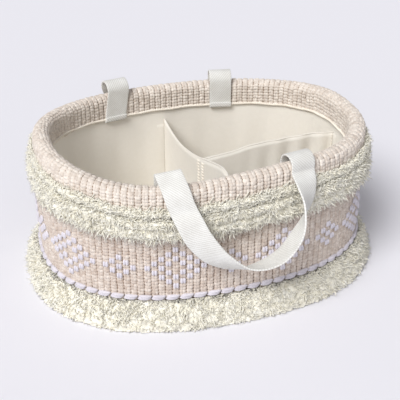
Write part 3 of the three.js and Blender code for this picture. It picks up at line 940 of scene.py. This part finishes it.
def long_wrinkle(share, height):
    """The folds below the hem, and smaller creases that fade towards the floor and the junction."""
    wave = np.sin(crease_waves[0] * share + crease_waves[1] * height)
    crease = crease_depth * share * height * wave * np.sin(math.pi * share)
    return crease + (1 - hem_fold) * long_fold(share) * (1 - height ** hem_stiffness)


long_top = edge_line(long_edge, long_sag)
long_panel = hang_panel("long_panel", "long_divider", long_plan, long_top, long_columns, long_wrinkle)
long_hem = roll_hem("long_hem", "long_divider_hem", long_plan, long_top, long_steps, *long_roll)

# Seam flanges. The dividers' ends are folded aside and sewn flat to the lining, up to their top edge.
# Each is a narrow strip of the lining cotton, with an overlocked edge of pale thread.
flange_width = 0.009
flange_columns = 6
flange_clear = 0.0006
flange_inset = 0.0165
flange_thick = 0.0003
flange_sinks = 0.0028
thread_size = (0.0006, 0.0012, 0.0016)
thread_lift = 0.0004
thread_pitch = 0.0035
thread_slant = math.radians(70)


def sew_flange(name, node, run, turn, top):
    """One flange with its row of thread, on one side of the divider's end."""
    near = run + turn * flange_clear
    far = near + turn * flange_width
    bm = flat_cloth(flange_width, divider_foot, top, flange_inset, flange_columns, divider_rows)
    bmesh.ops.translate(bm, verts=bm.verts[:], vec=(min(near, far), 0, 0))
    upper_edge = [vert for vert in bm.verts if vert.co.z > top - clearance]
    bmesh.ops.translate(bm, verts=upper_edge, vec=(0, -flange_sinks, 0))
    bmesh.ops.solidify(bm, geom=bm.faces[:], thickness=-flange_thick)
    sew_round(bm)
    bmesh.ops.recalc_face_normals(bm, faces=bm.faces[:])
    flange = sew_on(name, bm, lining_finish, "lining_cotton", node)
    bm = bmesh.new()
    width, depth, length = thread_size
    for number in range(int((top - divider_foot) / thread_pitch)):
        height = divider_foot + (number + 0.5) * thread_pitch
        spot = Matrix.Translation((near, flange_inset + thread_lift, height))
        lean = Matrix.Rotation(thread_slant if number % 2 else -thread_slant, 4, "Y")
        lay_copy(bm, yarn_grain, spot @ lean @ Matrix.Diagonal((width, -depth, length, 1)))
    sew_round(bm)
    bmesh.ops.recalc_face_normals(bm, faces=bm.faces[:])
    return [flange, sew_on(name + "_thread", bm, cord_finish, "lining_cotton")]


rear_flange = sew_flange("rear_flange", "rear_seam_flange", run_at(cross_seam_rear, False), 1,
                         float(cross_top(0)))
front_flange = sew_flange("front_flange", "front_seam_flange", run_at(cross_seam_front, True), -1,
                          float(cross_top(1)))
end_flange = sew_flange("end_flange", "end_seam_flange", junction[1], -1, float(long_top(1)))

# Junction stitches. A ladder of overlock thread where the long divider is sewn through the cross one.
# It runs from the hem to the floor on the side away from the long divider, in two staggered rows.
ladder_half = 0.0050
ladder_rung = (0.0036, 0.0014, 0.0009)
ladder_lift = 0.0001
ladder_out = -cross_side if cross_side[0] > 0 else cross_side
ladder_share = ladder_half / cross_length
bm = bmesh.new()
for side in (-1, 1):
    share = junction_share + side * ladder_share
    step = cross_plan(np.array([share - ladder_share, share + ladder_share]))[0]
    turned = Matrix.Rotation(math.atan2(*(step[1] - step[0])[::-1]), 4, "Z")
    place, across = cross_plan(np.array([share]))
    top = float(cross_top(share)) - divider_hem
    for number in range(int((top - divider_foot) / thread_pitch)):
        height = top - (number + 0.5 + side / 4) * thread_pitch
        slack = cross_wrinkle(share, (height - divider_foot) / (top - divider_foot))
        spot = place[0] + across[0] * slack + ladder_out * (divider_thick / 2 + ladder_lift)
        grain = bmesh.ops.create_icosphere(bm, subdivisions=1, radius=1)["verts"]
        shape = Matrix.Translation((*spot, height)) @ turned @ Matrix.Diagonal((*ladder_rung, 1))
        bmesh.ops.transform(bm, verts=grain, matrix=shape)
sew_on("junction_thread", bm, cord_finish, "lining_cotton")

# Handles. Two lengths of white cotton twill webbing, 25 mm wide, one on the front and one on the rear.
# Each end is folded under and sewn inside the cuff; the strap passes over the rim and hangs as a loop.
# The front left end is pulled flat over the rim, the rear left tab leans, and the rear right arch has sunk.
webbing_width = 0.025
webbing_thick = 0.0018
webbing_edge = 0.3
webbing_columns, webbing_steps = 10, 220
warp_pitch, twill_pitch = 0.0014, 0.0030
handle_spread = 0.126
handle_drop = 0.084
handle_reach = 0.030
handle_twist = math.radians(82)
bend_rise = 0.002
tab_below_hem = 0.004
tab_fold = 0.006
tab_lean = 0.17
arch_steps, fold_steps, tab_steps = 25, 9, 16
rear_bend_sinks = 0.003
creased_arch = [(0.0185, 0.0140), (0.0183, 0.0166), (0.0172, 0.0180), (0.0154, 0.0176), (0.0095, 0.0141),
                (0.0029, 0.0102), (-0.0024, 0.0050), (-0.0062, -0.0025)]
crease_start = 0.004
crease_slant = 0.30
crease_tilt = 0.18
crease_shift = 0.0022
crease_fade = 1.9
loop_route = [
    (-1, 0, 0), (-0.975, 0.05, 0.06), (-0.93, 0.14, 0.17), (-0.86, 0.27, 0.44), (-0.71, 0.53, 0.76),
    (-0.43, 0.79, 0.93), (0, 0.96, 1), (0.5, 0.88, 1), (0.79, 0.61, 0.95),
    (0.93, 0.35, 0.76), (0.99, 0.16, 0.36), (1, 0.05, 0), (1, 0, 0),
]
loop_winds, loop_wound, loop_unwinds = 0.08, 0.6, 0.66
loop_squares = 0.2


def ease(value, low, high):
    """A smooth step from 0 at low to 1 at high."""
    share = np.clip((value - low) / (high - low), 0, 1)
    return share * share * (3 - 2 * share)


def strap_end(x, front, creased, lean, sinks):
    """The route of one sewn end, from its folded tip inside the cuff to the outside of the rim. It arches
    over the rim or, where the loop has pulled it flat, creases and slants towards the strap's middle."""
    run = run_at(x, front)
    places, outs = round_the_plan(np.array([run, run + webbing_width / 2]))
    place, out = places[0], outs[0]
    toward = np.array([-out[1], out[0]]) * math.copysign(1, x * out[1])
    rim = 2 * crown_radius
    hollow = (place - out * rim - (places[1] - outs[1] * rim)) @ out
    tuck = webbing_thick / 2
    inside = rim + clearance + hollow + tuck
    outside = -clearance - tuck
    if creased:
        middle = stand_up(run, place, crown_foot)
        arch = smooth_route([(inset, middle + rise) for inset, rise in creased_arch], steps=6)
        slide = crease_slant * np.maximum(walked(arch) - crease_start, 0)
    else:
        bend = rim_height * saddle(place) + bend_rise - sinks
        turns = np.linspace(0, math.pi, arch_steps)
        radius = (inside - outside) / 2
        arch = np.column_stack([outside + radius * (1 + np.cos(turns)), bend + radius * np.sin(turns)])
        slide = np.zeros(len(arch))
    foot = stand_up(run, place, hem_height) - tab_below_hem
    turns = np.linspace(0, math.pi, fold_steps)
    tab = [(inside + 2 * tuck, foot + tab_fold)]
    tab += [(inside + tuck + tuck * math.cos(t), foot + tuck - tuck * math.sin(t)) for t in turns]
    tab += [(inside, height) for height in np.linspace(foot + tuck, arch[0, 1], tab_steps)[1:-1]]
    inset, height = np.vstack([tab, arch]).T
    slide = np.concatenate([lean * (height[:len(tab)] - arch[0, 1]), slide])
    plan = place - np.outer(inset, out) + np.outer(slide, toward)
    return np.column_stack([plan, height]), np.append(out, 0)


def strap_route(front, away):
    """The middle line of a whole strap, with the directions across it and through it."""
    tilt, shift = (crease_tilt, crease_shift) if front else (0, 0)
    lean, sinks = (0, 0) if front else (tab_lean, rear_bend_sinks)
    left, left_out = strap_end(-handle_spread / 2 - shift, front, front, lean, 0)
    right, right_out = strap_end(handle_spread / 2, front, False, 0, sinks)
    mirrored = right[-1] * [-1, 1, 1]
    points = []
    for spread, drop, reach in loop_route:
        hung = mirrored * [-spread, 1, 1]
        hung += (left[-1] - mirrored) * max(1 - crease_fade * drop, 0) * (spread < 0)
        points.append(hung + [0, away * reach * handle_reach, -clearance - drop * handle_drop])
    loop = smooth_route(points, steps=16)
    line = np.vstack([left, loop, right[::-1]])
    along = unit(np.gradient(line, axis=0))
    walk = walked(loop)
    share = np.concatenate([np.zeros(len(left)), walk / walk[-1], np.ones(len(right))])[:, None]
    out = left_out * (1 - share) + right_out * share
    out -= along * np.sum(out * along, axis=1, keepdims=True)
    hanging = unit(np.cross(along, out) * away)
    leaving = 1 - ease(share, 0, loop_squares)
    arriving = ease(share, 1 - loop_squares, 1)
    left_flat = np.cross([0, 0, -1], left_out) * away
    left_flat += np.array([0, 0, tilt]) * np.sign(left_flat[0])
    right_flat = np.cross([0, 0, 1], right_out) * away
    flat = unit(hanging * (1 - leaving - arriving) + left_flat * leaving + right_flat * arriving)
    thick = unit(np.cross(flat, along) * away)
    twist = handle_twist * ease(share, loop_winds, loop_wound) * (1 - ease(share, loop_unwinds, 1))
    width = flat * np.cos(twist) + thick * np.sin(twist)
    return line, width, unit(np.cross(along, width) * away)


def twill_finish():
    """White twill webbing: fine raised steps in slanting rows."""
    finish, tree, shader = new_finish("white_twill_webbing", 0.8, 0.2)
    flat = add_node(tree, "ShaderNodeUVMap", {}, uv_map="measure").outputs["UV"]
    spots = add_node(tree, "ShaderNodeSeparateXYZ", {"Vector": flat})
    across, along = spots.outputs["X"], spots.outputs["Y"]
    warp = add_math(tree, "SINE", add_math(tree, "MULTIPLY", across, 2 * math.pi / warp_pitch))
    slant = add_math(tree, "ADD", add_math(tree, "MULTIPLY", along, 2 * math.pi / twill_pitch),
                     add_math(tree, "MULTIPLY", across, math.pi / warp_pitch))
    over = add_math(tree, "MULTIPLY", add_math(tree, "MULTIPLY", warp, add_math(tree, "SINE", slant)), 0.5)
    twill = add_math(tree, "ADD", over, 0.5)
    # Painted shade: the low parts of the twill take the deeper grey, for the shade between its raised steps.
    spin_yarn(tree, shader, flat, twill, "cfccc5", "f8f8f5", 900.0)
    raise_bump(tree, shader, twill, 0.0005, 0.7)
    return finish


webbing_finish = twill_finish()


def sew_strap(side):
    """A strap: webbing laid flat, given its thickness and soft edges, then bent along its route."""
    front = side == "front"
    away = -1 if front else 1
    line, width, thick = strap_route(front, away)
    walk = walked(line)
    bm = bmesh.new()
    lay = Matrix.Translation((0, walk[-1] / 2, 0)) @ Matrix.Diagonal((webbing_width, walk[-1], 1, 1))
    bmesh.ops.create_grid(bm, x_segments=webbing_columns, y_segments=webbing_steps, size=0.5, matrix=lay)
    mark_measure(bm, 0, 1)
    bmesh.ops.solidify(bm, geom=bm.faces[:], thickness=webbing_thick)
    bmesh.ops.translate(bm, verts=bm.verts[:], vec=(0, 0, -sum(v.co.z for v in bm.verts) / len(bm.verts)))
    soften_edges(bm, webbing_thick * webbing_edge)
    flat = np.array([vert.co for vert in bm.verts])
    spot, across, through = [np.column_stack([np.interp(flat[:, 1], walk, part[:, k]) for k in range(3)])
                             for part in (line, width, thick)]
    move_to(bm.verts, spot + across * flat[:, :1] + through * flat[:, 2:])
    bmesh.ops.recalc_face_normals(bm, faces=bm.faces[:])
    strap = make_piece(f"{side}_strap", bm, webbing_finish)
    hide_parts(f"{side}_handle", f"{side}_left_handle_tab", f"{side}_right_handle_tab",
                f"{side}_left_handle_bend", f"{side}_right_handle_bend")
    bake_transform(strap)


for side in ("front", "rear"):
    sew_strap(side)

# Floor, light and camera. A pale floor, a soft lamp from the front left, a weak front fill, and an even sky,
# which the camera alone sees as pale as the floor. The camera stands in front of the caddy, a little to
# its left, and looks down at 30 degrees.
floor_reach = 40
lamps = [("soft_key", 2.6, 28, (0.70, 0.58, -1.0)), ("front_fill", 0.45, 90, (0.45, 1.0, -0.4))]
sky_light, sky_seen = 0.36, 0.52
view_turn = math.radians(-17.504)
view_rise = math.radians(29.781)
view_target = Vector((0.000528, -0.004876, 0.06143))
view_distance = 0.90406

bm = bmesh.new()
bmesh.ops.create_grid(bm, x_segments=1, y_segments=1, size=floor_reach)
floor_mesh = as_mesh("studio_floor", bm)
floor_finish, tree, shader = new_finish("studio_floor", 0.9, 0.0)
shader.inputs["Base Color"].default_value = paint("ebeaf0")
floor_mesh.materials.append(floor_finish)
add_object("studio_floor", floor_mesh)

for name, energy, spread, aim in lamps:
    sun = bpy.data.lights.new(name, "SUN")
    sun.energy = energy
    sun.angle = math.radians(spread)
    add_object(name, sun).rotation_euler = Vector(aim).to_track_quat("-Z", "Y").to_euler()

world = bpy.data.worlds.new("pale_sky")
world.use_nodes = True
tree = world.node_tree
sky = tree.nodes["Background"]
sky.inputs["Color"].default_value = paint("f7f7fb")
seen = add_node(tree, "ShaderNodeLightPath", {}).outputs["Is Camera Ray"]
strength = add_math(tree, "ADD", add_math(tree, "MULTIPLY", seen, sky_seen), sky_light)
tree.links.new(strength, sky.inputs["Strength"])
bpy.context.scene.world = world
bpy.context.scene.view_settings.view_transform = "Standard"

view_back = Vector((math.sin(view_turn) * math.cos(view_rise), -math.cos(view_turn) * math.cos(view_rise),
                    math.sin(view_rise)))
camera = bpy.data.cameras.new("photo_camera")
camera.sensor_width = 36
camera.lens = 76.07
camera.clip_start = 0.01
eye = add_object("photo_camera", camera)
eye.location = view_target + view_distance * view_back
eye.rotation_euler = (-view_back).to_track_quat("-Z", "Y").to_euler()
bpy.context.scene.camera = eye
